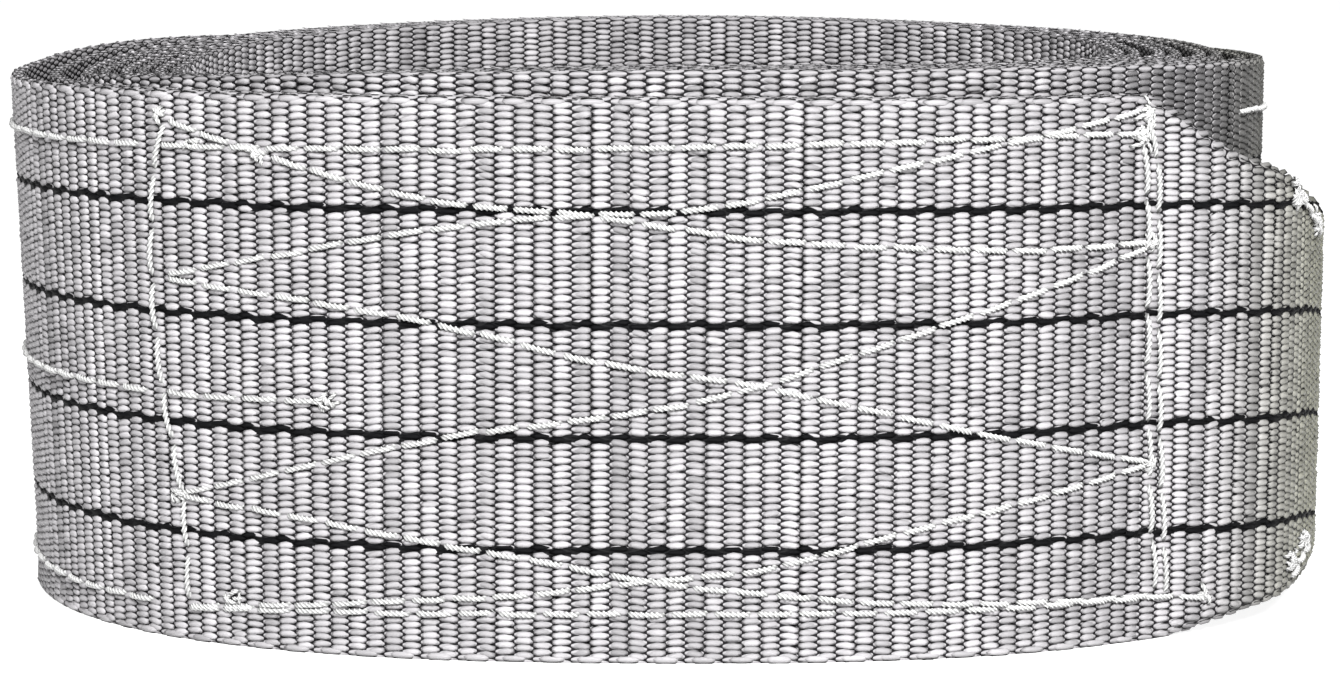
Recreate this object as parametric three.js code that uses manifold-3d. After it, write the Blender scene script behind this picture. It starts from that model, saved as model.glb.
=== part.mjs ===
// A tow strap of grey polyester webbing, wound into a loose coil that stands on the edge of its band.
// One band of webbing is folded into two plies, which are sewn together along the strap and left
// apart at both ends. The ends are the eyes: there the band's two edges are turned in as hems.
// White thread holds the plies: a block of crossed lines at the outer eye, three long seams and the
// tacks over the eye's hems.
// Millimetres, +Z up. The front of the coil, with the block, faces -Y.
import * as THREE from "three";
import Module from "manifold-3d";
import { mergeVertices } from "three/addons/utils/BufferGeometryUtils.js";

const wasm = await Module();
wasm.setup();

// Webbing
const WIDTH = 100;
const PLY = 2.8;
const PLY_GAP = 0.4;
const GREY = 0x8b8a90;

// Coil: a superellipse seen from above, wound inwards from the throat of the outer eye.
// Angles are in degrees from the front (-Y) towards +X.
const HALF_WIDTH = 126.5;
const HALF_DEPTH = 115;
const SQUARENESS = 2.4;
const TURN_PITCH = 2 * PLY + PLY_GAP + 0.6;
const THROAT_ANGLE = 43.2;
const STEP_ANGLE = 7.2;
const BODY_STEPS = 212;
const BODY_TURNED = BODY_STEPS * STEP_ANGLE;

// Where a turn stands off the one inside it: angle turned at the middle, spread and rise
const SLACK = [
  { at: 100, spread: 27, rise: 6.5 },
  { at: 165, spread: 30, rise: 2.5 },
  { at: 455, spread: 30, rise: 1.2 },
];
const RIGHT_SLACK = 1.6; // a turn's extra step inwards on the right

// Inner turns stand higher than the outer one, which is on the floor: least on the left, most at the back
const LIFT = 4.7;
const LIFT_FROM = 215;
const LIFT_OVER = 170;
const BACK_LIFT = { at: 175, rise: 5, sharpness: 1.6 };
const LEFT_DIP = { at: -75, rise: -3, sharpness: 2.7 };
const LEAN = 2; // the outer turn's top leans out on the left, and its foot in
const LEAN_AT = 125;
const LEAN_SPREAD = 40;

// Eyes: (distance past the throat, how much of the band's width is turned in there)
const TOP_HEM = [[0, 0], [20, 10.5], [53, 17.6], [84, 18.5], [999, 18.5]];
const BOTTOM_HEM = [[0, 0], [28, 4.4], [55, 8], [84, 14], [999, 14]];
const HEM_START = 20;
const HEM_SUNK = 0.3; // how deep a hem is joined to the band that it lies on
const HEM_INSET = 0.2; // how far a hem stays inside the fold
const OUTER_DROOP = 7;
const DROOP_OVER = 84;
const OUTER_EYE_STEPS = 18;
const INNER_EYE_STEPS = 25;
const TIP_STEPS = 7;
// Steps past the throat, and the distance between the middles of the two arms there
const OUTER_ARMS = [[0, 3.2], [1, 8.5], [2, 11.4], [3, 9.8], [4, 9.3], [7, 9.4], [11, 14], [18, 16.6]];
const INNER_ARMS = [[0, 3.2], [2, 9], [4, 10], [8, 10.5], [20, 15], [25, 16.6]];
// The cut ends of the band meet in the inner ply, this many steps from the outer throat
const CUT_STEP = 100;
const CUT_GAP = 0.04; // part of a step

// Thread
const THREAD = 1.3;
const THREAD_HEIGHT = 1;
const THREAD_CLEAR = 0.75;
const THREAD_STEP = 7.5;
const WHITE = 0xf0efec;
// Lines of the block: (distance from the throat along the strap, height on the band)
const BLOCK_LINES = [
  [[182, 95], [185, 84], [186, 64], [184, 43], [180, 26], [179.5, 7]],
  [[1, 97.5], [-2, 90], [-3, 66], [-4, 40], [-6, 8]],
  [[1, 92], [-0.6, 72], [-1, 45], [-3.6, 9]],
  [[182, 95], [162, 89.5], [132, 82], [104, 79.6], [76, 75.5], [30, 73], [-1, 73.4]],
  [[183, 67], [138, 75.6], [109, 79.4], [84, 80.6], [47, 88.3], [1, 97.5]],
  [[183, 66.5], [138, 61.5], [98, 53.1], [75, 49.7], [28, 39.2], [-2, 33]],
  [[181, 27], [134, 39], [93, 45.2], [73, 49.8], [47, 58.2], [-1, 72.6]],
  [[181, 26.6], [151, 24], [109, 17.8], [93, 14.8], [51, 10.6], [-3, 8.3]],
  [[179.5, 6.5], [138, 10.5], [113, 12.3], [94, 14.9], [73, 16.8], [47, 23.3], [-2, 33]],
  [[184, 90.3], [98, 91.2], [40, 92.6], [0, 93.3]],
  [[184, 45.6], [168, 45.4], [151, 46]],
  [[180, 6.2], [156, 7.8], [94, 9], [0, 8.2], [-16, 7]],
];
// Long seams: height on the band, and the distance from the throat at which the eye covers them
const SEAM_START = 188;
const SEAMS = {
  upper_seam: { height: 90.3, end: 728 },
  middle_seam: { height: 45.6, end: 446 },
  lower_seam: { height: 6.6, end: 446 },
};
// Tacks over the hems of the outer eye: (distance from the throat, height)
const TACKS = {
  upper_tack: [[-40, 83], [-47, 80], [-62, 75]],
  lower_tack: [[-42, 9], [-49, 12], [-58, 14.5]],
};

const bell = (x, middle, spread) => Math.exp(-(((x - middle) / spread) ** 2) / 2);
const radians = THREE.MathUtils.degToRad;
const { lerp, smoothstep } = THREE.MathUtils;

// The value at x of a line through (x, y) points
function through(points, x) {
  const next = Math.max(1, points.findIndex((p) => p[0] >= x));
  const [[x0, y0], [x1, y1]] = [points[next - 1], points[next]];
  return lerp(y0, y1, (x - x0) / (x1 - x0));
}

// Distance from the coil's middle to the outer face of the strap, after it has turned that far
function outerRadius(turned) {
  const angle = radians(THROAT_ANGLE - turned);
  const across = Math.abs(Math.sin(angle) / HALF_WIDTH) ** SQUARENESS;
  const along = Math.abs(Math.cos(angle) / HALF_DEPTH) ** SQUARENESS;
  const oval = (across + along) ** (-1 / SQUARENESS);
  const turns = turned / 360;
  const right = Math.max(0, Math.sin(angle)) ** 2 * RIGHT_SLACK * Math.max(0, turns - 1);
  const slack = SLACK.reduce((sum, s) => sum + s.rise * bell(turned, s.at, s.spread), 0);
  return oval - TURN_PITCH * turns - right + slack;
}

function riseAt(turned) {
  const risen = smoothstep(turned, LIFT_FROM, LIFT_FROM + LIFT_OVER);
  const near = (at) => Math.cos(radians(THROAT_ANGLE - turned - at)) - 1;
  const waves = [BACK_LIFT, LEFT_DIP].map((w) => w.rise * Math.exp(w.sharpness * near(w.at)));
  return risen * (LIFT + waves[0] + waves[1]);
}

// A cross-section of the band: its place from above, its edges' heights, and its lean
function station(angle, radius, rise = 0, lean = 0) {
  const a = radians(angle);
  const place = new THREE.Vector2(radius * Math.sin(a), -radius * Math.cos(a));
  return { place, rise, lean, low: rise, high: rise + WIDTH, bottomHem: 0, topHem: 0 };
}

// One ply along the body, from the outer throat to the inner one; depth is that of its middle
function bodyPly(depth) {
  return Array.from({ length: BODY_STEPS + 1 }, (_, step) => {
    const turned = step * STEP_ANGLE;
    const lean = LEAN * bell(turned, LEAN_AT, LEAN_SPREAD);
    return station(THROAT_ANGLE - turned, outerRadius(turned) - depth, riseAt(turned), lean);
  });
}

// Length of the line through the stations, up to each of them
function lengths(stations) {
  const sums = [0];
  for (let i = 1; i < stations.length; i++)
    sums.push(sums[i - 1] + stations[i].place.distanceTo(stations[i - 1].place));
  return sums;
}

// Turns in the band's edges along an arm whose first station is at the throat
function turnInEdges(arm, droop) {
  const sums = lengths(arm);
  arm.forEach((s, i) => {
    s.past = sums[i];
    s.topHem = through(TOP_HEM, s.past);
    s.bottomHem = through(BOTTOM_HEM, s.past);
    s.rise -= droop * Math.min(1, s.past / DROOP_OVER) ** 2;
    s.low = s.rise + s.bottomHem;
    s.high = s.rise + WIDTH - s.topHem;
  });
  return arm;
}

// The two arms of an eye and the round tip between them, from the first arm's throat to the second's
function eye(first, second, droop) {
  turnInEdges(first, droop);
  turnInEdges(second, droop);
  const [a, b] = [first.at(-1), second.at(-1)];
  const middle = a.place.clone().add(b.place).divideScalar(2);
  const arm = a.place.clone().sub(middle);
  const tip = [];
  for (let i = 1; i < TIP_STEPS; i++) {
    const turn = (-Math.PI * i) / TIP_STEPS;
    tip.push({ ...a, place: arm.clone().rotateAround(new THREE.Vector2(), turn).add(middle) });
  }
  return [...first, ...tip, ...[...second].reverse()];
}

// The outer eye lies on the outside of the second turn, from the right round to the back
function outerEye() {
  const arms = [[], []];
  for (let step = 0; step <= OUTER_EYE_STEPS; step++) {
    const angle = THROAT_ANGLE + step * STEP_ANGLE;
    const coil = outerRadius(360 - step * STEP_ANGLE);
    const inner = step === 0 ? outerRadius(0) - PLY * 1.5 - PLY_GAP : coil + PLY_GAP + PLY / 2;
    arms[0].push(station(angle, inner));
    arms[1].push(station(angle, inner + through(OUTER_ARMS, step)));
  }
  return eye(arms[0], arms[1], OUTER_DROOP);
}

// The inner eye lies on the inside of the last turn
function innerEye() {
  const arms = [[], []];
  for (let step = 0; step <= INNER_EYE_STEPS; step++) {
    const turned = BODY_TURNED + step * STEP_ANGLE;
    const outer = outerRadius(turned) - PLY / 2 - Math.min(1, step / 2) * PLY_GAP;
    const angle = THROAT_ANGLE - turned;
    arms[0].push(station(angle, outer, riseAt(turned)));
    arms[1].push(station(angle, outer - through(INNER_ARMS, step), riseAt(turned)));
  }
  return eye(arms[0], arms[1], 0);
}

// The direction to the left of travel at each station
function leftOf(stations) {
  return stations.map((_, i) => {
    const back = stations[Math.max(0, i - 1)].place;
    const ahead = stations[Math.min(stations.length - 1, i + 1)].place;
    const travel = ahead.clone().sub(back).normalize();
    return new THREE.Vector2(-travel.y, travel.x);
  });
}

// The point at height z on a station, that far to its left
function pointOn(station, left, aside, z) {
  const leaning = station.lean * ((z - WIDTH / 2) / (WIDTH / 2));
  const p = station.place.clone().addScaledVector(left, aside + leaning);
  return new THREE.Vector3(p.x, p.y, z);
}

// Bends a straight bar along a way: place(n, y, z) gives each point of its cross-section n
function bent(segments, place) {
  const bar = new THREE.BoxGeometry(segments, 1, 1, segments, 1, 1);
  const points = bar.getAttribute("position");
  for (let i = 0; i < points.count; i++) {
    const n = Math.round(points.getX(i) + segments / 2);
    const p = place(n, points.getY(i), points.getZ(i));
    points.setXYZ(i, p.x, p.y, p.z);
  }
  return bar;
}

// A strip of the band along the stations, with its middle that far to the left of them
function strip(stations, aside, low, high) {
  const left = leftOf(stations);
  return bent(stations.length - 1, (n, y, z) => {
    const s = stations[n];
    return pointOn(s, left[n], aside + y * PLY, z < 0 ? low(s) : high(s));
  });
}

function solid(geometry) {
  const bare = geometry.clone();
  bare.deleteAttribute("normal");
  bare.deleteAttribute("uv");
  const merged = mergeVertices(bare, 1e-4);
  const mesh = new wasm.Mesh({
    numProp: 3,
    vertProperties: merged.getAttribute("position").array,
    triVerts: new Uint32Array(merged.index.array),
  });
  return new wasm.Manifold(mesh);
}

function joined(geometries) {
  const whole = geometries.map(solid).reduce((a, b) => a.add(b)).getMesh();
  const geometry = new THREE.BufferGeometry();
  geometry.setAttribute("position", new THREE.BufferAttribute(whole.vertProperties, 3));
  geometry.setIndex(new THREE.BufferAttribute(whole.triVerts, 1));
  geometry.computeVertexNormals();
  return geometry;
}

function between(a, b, t) {
  const middle = { ...a, place: a.place.clone().lerp(b.place, t) };
  for (const key of ["rise", "low", "high", "lean"]) middle[key] = lerp(a[key], b[key], t);
  return middle;
}

// The hems of an eye lie inside its loop, on the right of travel
function hems(loop) {
  const turnedIn = loop.filter((s) => s.past > HEM_START);
  const aside = -PLY + HEM_SUNK;
  return [
    strip(turnedIn, aside, (s) => s.low + HEM_INSET, (s) => s.low + s.bottomHem),
    strip(turnedIn, aside, (s) => s.high - s.topHem, (s) => s.high - HEM_INSET),
  ];
}

// The band's whole way, from one cut end to the other
function webbing(outerPly, innerPly, outer, inner) {
  const cut = (t) => between(innerPly[CUT_STEP - 1], innerPly[CUT_STEP], t);
  const way = [
    cut(0.5 - CUT_GAP / 2),
    ...innerPly.slice(0, CUT_STEP).reverse(),
    ...outer.slice(1, -1),
    ...outerPly,
    ...inner.slice(1, -1),
    ...innerPly.slice(CUT_STEP).reverse(),
    cut(0.5 + CUT_GAP / 2),
  ];
  return joined([strip(way, 0, (s) => s.low, (s) => s.high), ...hems(outer), ...hems(inner)]);
}

// The strap's outer face, from the outer eye's tip to the inner throat.
// at(distance, height) gives the middle of a thread that lies on it, distance along from the throat.
function outerFace(outerPly, outer) {
  const arm = outer.slice(-OUTER_EYE_STEPS - 1, -1);
  const stations = [...arm, ...outerPly];
  const left = leftOf(stations);
  const sums = lengths(stations);
  const throat = sums[arm.length];
  const aside = PLY / 2 + THREAD_CLEAR + THREAD_HEIGHT / 2;
  return (distance, height) => {
    const next = Math.max(1, sums.findIndex((sum) => sum >= throat + distance));
    const t = (throat + distance - sums[next - 1]) / (sums[next] - sums[next - 1]);
    const rise = distance < 0 ? 0 : lerp(stations[next - 1].rise, stations[next].rise, t);
    const [a, b] = [next - 1, next].map((i) => pointOn(stations[i], left[i], aside, height + rise));
    const out = left[next - 1].clone().lerp(left[next], t).normalize();
    return { middle: a.lerp(b, t), out: new THREE.Vector3(out.x, out.y, 0) };
  };
}

// A line of thread on the face, through (distance, height) points
function threadLine(at, line) {
  const knots = line.map(([distance, height]) => new THREE.Vector3(distance, height, 0));
  const curve = new THREE.CatmullRomCurve3(knots, false, "centripetal");
  const steps = Math.ceil(curve.getLength() / THREAD_STEP);
  const centres = curve.getSpacedPoints(steps).map((p) => at(p.x, p.y));
  return bent(steps, (n, y, z) => {
    const { middle, out } = centres[n];
    const [back, ahead] = [centres[Math.max(0, n - 1)], centres[Math.min(steps, n + 1)]];
    const travel = ahead.middle.clone().sub(back.middle).normalize();
    const side = travel.cross(out).normalize();
    return middle.clone().addScaledVector(out, y * THREAD_HEIGHT).addScaledVector(side, z * THREAD);
  });
}

const outerPly = bodyPly(PLY / 2);
const innerPly = bodyPly(PLY * 1.5 + PLY_GAP);
const outer = outerEye();
const inner = innerEye();
const at = outerFace(outerPly, outer);

const shapes = { webbing: webbing(outerPly, innerPly, outer, inner) };
shapes.block_stitching = joined(BLOCK_LINES.map((line) => threadLine(at, line)));
for (const [name, { height, end }] of Object.entries(SEAMS))
  shapes[name] = threadLine(at, [[SEAM_START, height], [end, height]]);
for (const [name, line] of Object.entries(TACKS)) shapes[name] = threadLine(at, line);

const cloth = new THREE.MeshStandardMaterial({ color: GREY, roughness: 0.7, metalness: 0 });
const thread = new THREE.MeshStandardMaterial({ color: WHITE, roughness: 0.6, metalness: 0 });

const coil = new THREE.Group();
for (const [name, geometry] of Object.entries(shapes)) {
  const mesh = new THREE.Mesh(geometry, name === "webbing" ? cloth : thread);
  mesh.name = name;
  coil.add(mesh);
}

// The origin is under the middle of the coil
const box = new THREE.Box3().setFromObject(coil);
const middle = box.getCenter(new THREE.Vector3());
coil.position.set(-middle.x, -middle.y, -box.min.z);
const strap = new THREE.Group();
strap.add(coil);

export default strap;
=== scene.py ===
# Coiled tow strap: the visual model, laid out as a Blender add-on

import math

import bmesh
import bpy
import numpy as np
from mathutils import Matrix, Vector


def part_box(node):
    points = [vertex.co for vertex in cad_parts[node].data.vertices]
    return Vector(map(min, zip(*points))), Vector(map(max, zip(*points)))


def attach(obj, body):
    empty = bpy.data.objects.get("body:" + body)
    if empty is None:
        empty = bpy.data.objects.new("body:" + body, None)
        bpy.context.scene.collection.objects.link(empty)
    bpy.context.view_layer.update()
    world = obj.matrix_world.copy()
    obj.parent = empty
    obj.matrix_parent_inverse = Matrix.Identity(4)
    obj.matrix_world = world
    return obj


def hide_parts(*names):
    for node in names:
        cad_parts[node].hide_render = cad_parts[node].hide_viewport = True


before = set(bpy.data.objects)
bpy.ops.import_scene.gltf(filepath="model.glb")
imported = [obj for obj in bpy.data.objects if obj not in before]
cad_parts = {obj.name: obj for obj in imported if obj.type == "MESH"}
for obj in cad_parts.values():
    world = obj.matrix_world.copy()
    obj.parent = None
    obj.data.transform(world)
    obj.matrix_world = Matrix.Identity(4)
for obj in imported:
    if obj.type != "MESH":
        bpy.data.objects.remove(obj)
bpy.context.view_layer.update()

bl_info = {
    "name": "Coiled tow strap",
    "version": (1, 0, 0),
    "blender": (4, 5, 0),
    "location": "3D View > Sidebar > Tow strap",
    "description": "Builds a coiled webbing strap with sewn eyes around its CAD solids",
    "category": "Object",
}

MM = 0.001
BODY = "root"
WEBBING = "webbing"

# The coil, in millimetres and degrees, as its solids have it but for the lifts at the left and back
THROAT_ANGLE = 43.2
STEP_ANGLE = 7.2
BODY_TURNED = 1526.4
CUT_TURNED = 716.4
SQUARENESS = 2.4
SLACK = ((100, 27, 6.5), (165, 30, 2.5), (455, 30, 1.2))
RIGHT_SLACK = 1.6
LIFT = 4.7
LIFT_FROM = 150
LIFT_OVER = 220
BACK_LIFT = (175, 5, 1.6)
LEFT_DIP = (-75, -4.4, 3.4)
RIM_LIFT = (168, 26, 5.0)
LEAN = 2
LEAN_AT = 125
LEAN_SPREAD = 40
TOP_HEM = ((0, 0), (20, 10.5), (53, 17.6), (84, 18.5))
BOTTOM_HEM = ((0, 0), (28, 4.4), (55, 8), (84, 14))
OUTER_DROOP = 7
DROOP_OVER = 84
OUTER_EYE_STEPS = 18
INNER_EYE_STEPS = 25
OUTER_ARMS = ((0, 3.2), (1, 8.5), (2, 11.4), (3, 9.8), (4, 9.3), (7, 9.4), (11, 14), (18, 16.6))
INNER_ARMS = ((0, 3.2), (2, 9), (4, 10), (8, 10.5), (20, 15), (25, 16.6))
PLY_GAP = 0.4
TURN_GAP = 0.6

# The weave and the folds, in millimetres, and the turn in radians past which a fold is out of sight
LINE_SPACING = 20
BEND = 2.2
HEM_CLOSED = 3
SKIN = 1.0
OUT_OF_SIGHT = 1.35
SELVEDGE = 1.2

# Sewing: (distance from the outer throat along the strap, height on the band)
BLOCK_LINES = (
    ((182, 95), (185, 84), (186, 64), (184, 43), (180, 26), (179.5, 7)),
    ((1, 97.5), (-2, 90), (-3, 66), (-4, 40), (-6, 8)),
    ((1, 92), (-0.6, 72), (-1, 45), (-3.6, 9)),
    ((182, 95), (162, 89.5), (132, 82), (104, 79.6), (76, 75.5), (30, 73), (-1, 73.4)),
    ((183, 67), (138, 75.6), (109, 79.4), (84, 80.6), (47, 88.3), (1, 97.5)),
    ((183, 66.5), (138, 61.5), (98, 53.1), (75, 49.7), (28, 39.2), (-2, 33)),
    ((181, 27), (134, 39), (93, 45.2), (73, 49.8), (47, 58.2), (-1, 72.6)),
    ((181, 26.6), (151, 24), (109, 17.8), (93, 14.8), (51, 10.6), (-3, 8.3)),
    ((179.5, 6.5), (138, 10.5), (113, 12.3), (94, 14.9), (73, 16.8), (47, 23.3), (-2, 33)),
    ((184, 90.3), (98, 91.2), (40, 92.6), (0, 93.3)),
    ((184, 45.6), (168, 45.4), (151, 46)),
    ((180, 6.2), (156, 7.8), (94, 9), (0, 8.2), (-16, 7)),
)
UPRIGHT_LINES = 3
SEAM_START = 188
SEAMS = {"upper_seam": (90.3, 728), "middle_seam": (45.6, 446), "lower_seam": (6.6, 446)}
TACKS = {
    "upper_tack": ((-40, 83), (-47, 80), (-62, 75)),
    "lower_tack": ((-42, 9), (-49, 12), (-58, 14.5)),
}

# Loose thread: distance, height, how many bits, their spread and their length
KNOTS = (
    (163, 89.3, 9, 0.6, 2.4),
    (150.5, 45.8, 11, 0.8, 2.4),
    (176, 90.8, 6, 0.6, 2.2),
    (181.5, 26.8, 8, 0.7, 2.4),
    (170, 8.6, 9, 1.0, 2.4),
    (183.5, 95.8, 9, 0.7, 2.6),
    (0.5, 97.0, 12, 0.9, 2.6),
    (1.0, 92.5, 16, 1.3, 2.8),
    (-1.5, 73.4, 9, 0.8, 2.4),
    (-2, 33, 8, 0.7, 2.4),
    (-14, 7.5, 5, 0.9, 2.6),
)
TUFTS = (
    (-39, 82.0, 26, 1.5, 2.4),
    (-58, 77, 20, 1.7, 2.4),
    (-42, 12, 22, 1.6, 2.4),
    (-52, 15, 14, 1.6, 2.4),
)

# Where the floats show: degrees turned, distances along the band and heights on it
FRONT_END = 110
SIDE_END = 250
SECOND_TURN_END = 400
EYE_SHOWN = 292
SECOND_TURN_FROM = 60
INNER_TURNS_FROM = 86
FOOT_TO = 18
HOLLOW_FROM = 66
HOLLOW_SHOWN = 620
PETALS_END = 300
# Painted shade on the second turn's floats towards the right
SECOND_TURN_SHADE = 0.7

# Sizes of the laid forms and their stitches, in millimetres; a line's floats are shares of the rest
FLOAT_HEIGHT = 0.62
PETAL = (1.62, 0.82, 1.0)
BEAD = (1.0, 1.05, 0.5)
BLACK_FLOAT = (1.12, 0.75, 0.6)
THREAD_SIZE = 1.25
STITCH = 7.5
STITCH_LIFT = 0.6
UPRIGHT_STITCH = 10.0
UPRIGHT_LIFT = 0.75
TACK_STITCH = 6.0
TACK_LIFT = 0.7
LAYING_SEED = 7

# The stage, in metres and degrees
CAMERA_PLACE = (-0.0009, -0.7074, 0.1267)
CAMERA_DIP = 6.76
CAMERA_ROLL = 0.32
CAMERA_LENS = 90.62
CAMERA_SENSOR = 36
KEY_PLACE = (0.14, -1.12, 0.78)
KEY_TARGET = (0.03, 0, 0.05)
KEY_SIZE = 0.5
FLOOR_REACH = 20


def bell(x, middle, spread):
    return np.exp(-(((x - middle) / spread) ** 2) / 2)


def through(points, x):
    """The values at x of a line through (x, y) points."""
    xs, ys = zip(*points)
    return np.interp(x, xs, ys)


def unit(vectors):
    """The vectors at length 1."""
    return vectors / np.linalg.norm(vectors, axis=-1, keepdims=True)


class Band:
    """The strap's one length of webbing, laid along its coil.

    u is the distance along the band and v the height across it, both in millimetres.
    Its left face is the strap's outside, all the way round both eyes.
    """

    def __init__(self, sizes):
        self.width = sizes.width / MM
        self.ply = sizes.ply / MM
        self.half_width = sizes.coil_width / MM / 2
        self.half_depth = sizes.coil_depth / MM / 2
        self.rib = sizes.rib_pitch / MM
        self.row = sizes.row_pitch / MM
        self.turn_pitch = 2 * self.ply + PLY_GAP + TURN_GAP
        self.lay()

    def outer_radius(self, turned):
        angle = np.radians(THROAT_ANGLE - turned)
        across = np.abs(np.sin(angle) / self.half_width) ** SQUARENESS
        along = np.abs(np.cos(angle) / self.half_depth) ** SQUARENESS
        oval = (across + along) ** (-1 / SQUARENESS)
        turns = turned / 360
        right = np.maximum(0, np.sin(angle)) ** 2 * RIGHT_SLACK * np.maximum(0, turns - 1)
        slack = sum(rise * bell(turned, at, spread) for at, spread, rise in SLACK)
        return oval - self.turn_pitch * turns - right + slack

    def rise_at(self, turned):
        t = np.clip((turned - LIFT_FROM) / LIFT_OVER, 0, 1)
        risen = t * t * (3 - 2 * t)
        waves = 0
        for at, rise, sharpness in (BACK_LIFT, LEFT_DIP):
            apart = np.radians(THROAT_ANGLE - turned - at)
            waves = waves + rise * np.exp(sharpness * (np.cos(apart) - 1))
        at, spread, rise = RIM_LIFT
        return risen * (LIFT + waves) + rise * bell(turned, at, spread)

    def stations(self, angle, radius, rise=0, lean=0):
        a = np.radians(angle)
        columns = [radius * np.sin(a), -radius * np.cos(a), rise, lean, 0, 0]
        return np.stack([np.broadcast_to(c, a.shape) for c in columns], 1).astype(float)

    def body_ply(self, start, end, depth):
        turned = np.linspace(start, end, int(abs(end - start) / 1.2) + 1)
        lean = LEAN * bell(turned, LEAN_AT, LEAN_SPREAD)
        radius = self.outer_radius(turned) - depth
        return self.stations(THROAT_ANGLE - turned, radius, self.rise_at(turned), lean)

    def arm(self, angle, radius, rise, droop):
        line = self.stations(angle, radius, rise)
        past = run_length(line[:, :2])
        line[:, 2] -= droop * np.minimum(1, past / DROOP_OVER) ** 2
        line[:, 4] = through(TOP_HEM, past)
        line[:, 5] = through(BOTTOM_HEM, past)
        return line

    def outer_eye(self):
        step = np.linspace(0, OUTER_EYE_STEPS, OUTER_EYE_STEPS * 6 + 1)
        angle = THROAT_ANGLE + step * STEP_ANGLE
        coil = self.outer_radius(360 - step * STEP_ANGLE) + PLY_GAP + self.ply / 2
        throat = self.outer_radius(0) - self.ply * 1.5 - PLY_GAP
        first = coil + (throat - coil) * np.clip(1 - step, 0, 1)
        second = first + through(OUTER_ARMS, step)
        arms = [self.arm(angle, radius, 0, OUTER_DROOP) for radius in (first, second)]
        return joined_arms(*arms)

    def inner_eye(self):
        step = np.linspace(0, INNER_EYE_STEPS, INNER_EYE_STEPS * 6 + 1)
        turned = BODY_TURNED + step * STEP_ANGLE
        first = self.outer_radius(turned) - self.ply / 2 - np.minimum(1, step / 2) * PLY_GAP
        second = first - through(INNER_ARMS, step)
        rise = self.rise_at(turned)
        arms = [self.arm(THROAT_ANGLE - turned, radius, rise, 0) for radius in (first, second)]
        return joined_arms(*arms)

    def lay(self):
        outer = self.ply / 2
        inner = self.ply * 1.5 + PLY_GAP
        half_cut = 0.15
        pieces = {
            "inner_ply": self.body_ply(CUT_TURNED - half_cut, 0, inner),
            "outer_eye": self.outer_eye(),
            "outer_ply": self.body_ply(0, BODY_TURNED, outer),
            "inner_eye": self.inner_eye(),
            "inner_end": self.body_ply(BODY_TURNED, CUT_TURNED + half_cut, inner),
        }
        way, ends = [], {}
        for name, piece in pieces.items():
            way.append(piece if not way else piece[1:])
            ends[name] = sum(len(w) for w in way) - 1
        way = np.concatenate(way)
        run = run_length(way[:, :2])
        self.grid = np.arange(0, run[-1], self.rib / 4)
        even = np.stack([np.interp(self.grid, run, column) for column in way.T], 1)
        even = smoothed(even, 3.0 / (self.rib / 4))
        tangent = unit(np.gradient(even[:, :2], axis=0))
        left = np.stack([-tangent[:, 1], tangent[:, 0]], 1)
        lo, hi = (np.array(corner[:2]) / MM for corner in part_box(WEBBING))
        half = left * self.ply / 2
        around = np.concatenate([even[:, :2] + half, even[:, :2] - half])
        shift = (lo + hi) / 2 - (around.min(0) + around.max(0)) / 2
        self.place = even[:, :2] + shift
        self.left = left
        self.tangent = tangent
        self.rise, self.lean, self.top_hem, self.bottom_hem = even[:, 2:].T
        self.spans, start = {}, 0
        for name, end in ends.items():
            self.spans[name] = (start, run[end])
            start = run[end]
        self.throat = self.spans["outer_ply"][0]
        self.turned_line = self.turned_table(pieces["outer_ply"])

    def turned_table(self, ply):
        """Distances along the strap from the outer throat, and the degrees turned there."""
        return run_length(ply[:, :2]), np.linspace(0, BODY_TURNED, len(ply))

    def at_turned(self, turned):
        run, degrees = self.turned_line
        return self.throat + np.interp(turned, degrees, run)

    def on_grid(self, u, column):
        if column.ndim == 1:
            return np.interp(u, self.grid, column)
        return np.stack([np.interp(u, self.grid, c) for c in column.T], -1)

    def section(self, u, v):
        """Place of the band's middle across its folds: aside, height, and the face's turn there."""
        top = np.interp(u, self.grid, self.top_hem)
        bottom = np.interp(u, self.grid, self.bottom_hem)
        upper = v >= self.width / 2
        hem = np.where(upper, top, bottom)
        reach = np.where(upper, v, self.width - v)
        aside, height, turn = folded(reach, hem, self.width)
        return aside, np.where(upper, height, self.width - height), np.where(upper, turn, -turn)

    def surface(self, u, v, offset=0.0):
        """Points at an offset to the left of the band's middle, the normals there and the way along."""
        u, v = np.broadcast_arrays(np.asarray(u, float), np.asarray(v, float))
        aside, height, turn = self.section(u, v)
        left = self.on_grid(u, self.left)
        tangent = self.on_grid(u, self.tangent)
        z = height + np.sin(turn) * offset + self.on_grid(u, self.rise)
        lean = self.on_grid(u, self.lean) * (z - self.width / 2) / (self.width / 2)
        across = aside + np.cos(turn) * offset + lean
        plan = self.on_grid(u, self.place) + left * across[..., None]
        points = np.concatenate([plan, z[..., None]], -1)
        normal = np.concatenate([left * np.cos(turn)[..., None], np.sin(turn)[..., None]], -1)
        along = np.concatenate([tangent, np.zeros_like(z)[..., None]], -1)
        return points, unit(normal), along


def run_length(points):
    return np.concatenate([[0], np.cumsum(np.linalg.norm(np.diff(points, axis=0), axis=1))])


def smoothed(rows, spread):
    """Rows blurred along their order, with the ends kept."""
    reach = int(spread * 3)
    weights = np.exp(-((np.arange(-reach, reach + 1) / spread) ** 2) / 2)
    weights /= weights.sum()
    first, last = rows[:1], rows[-1:]
    before = 2 * first - rows[reach:0:-1]
    after = 2 * last - rows[-2 : -reach - 2 : -1]
    padded = np.concatenate([before, rows, after])
    return np.stack([np.convolve(column, weights, "valid") for column in padded.T], 1)


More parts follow.
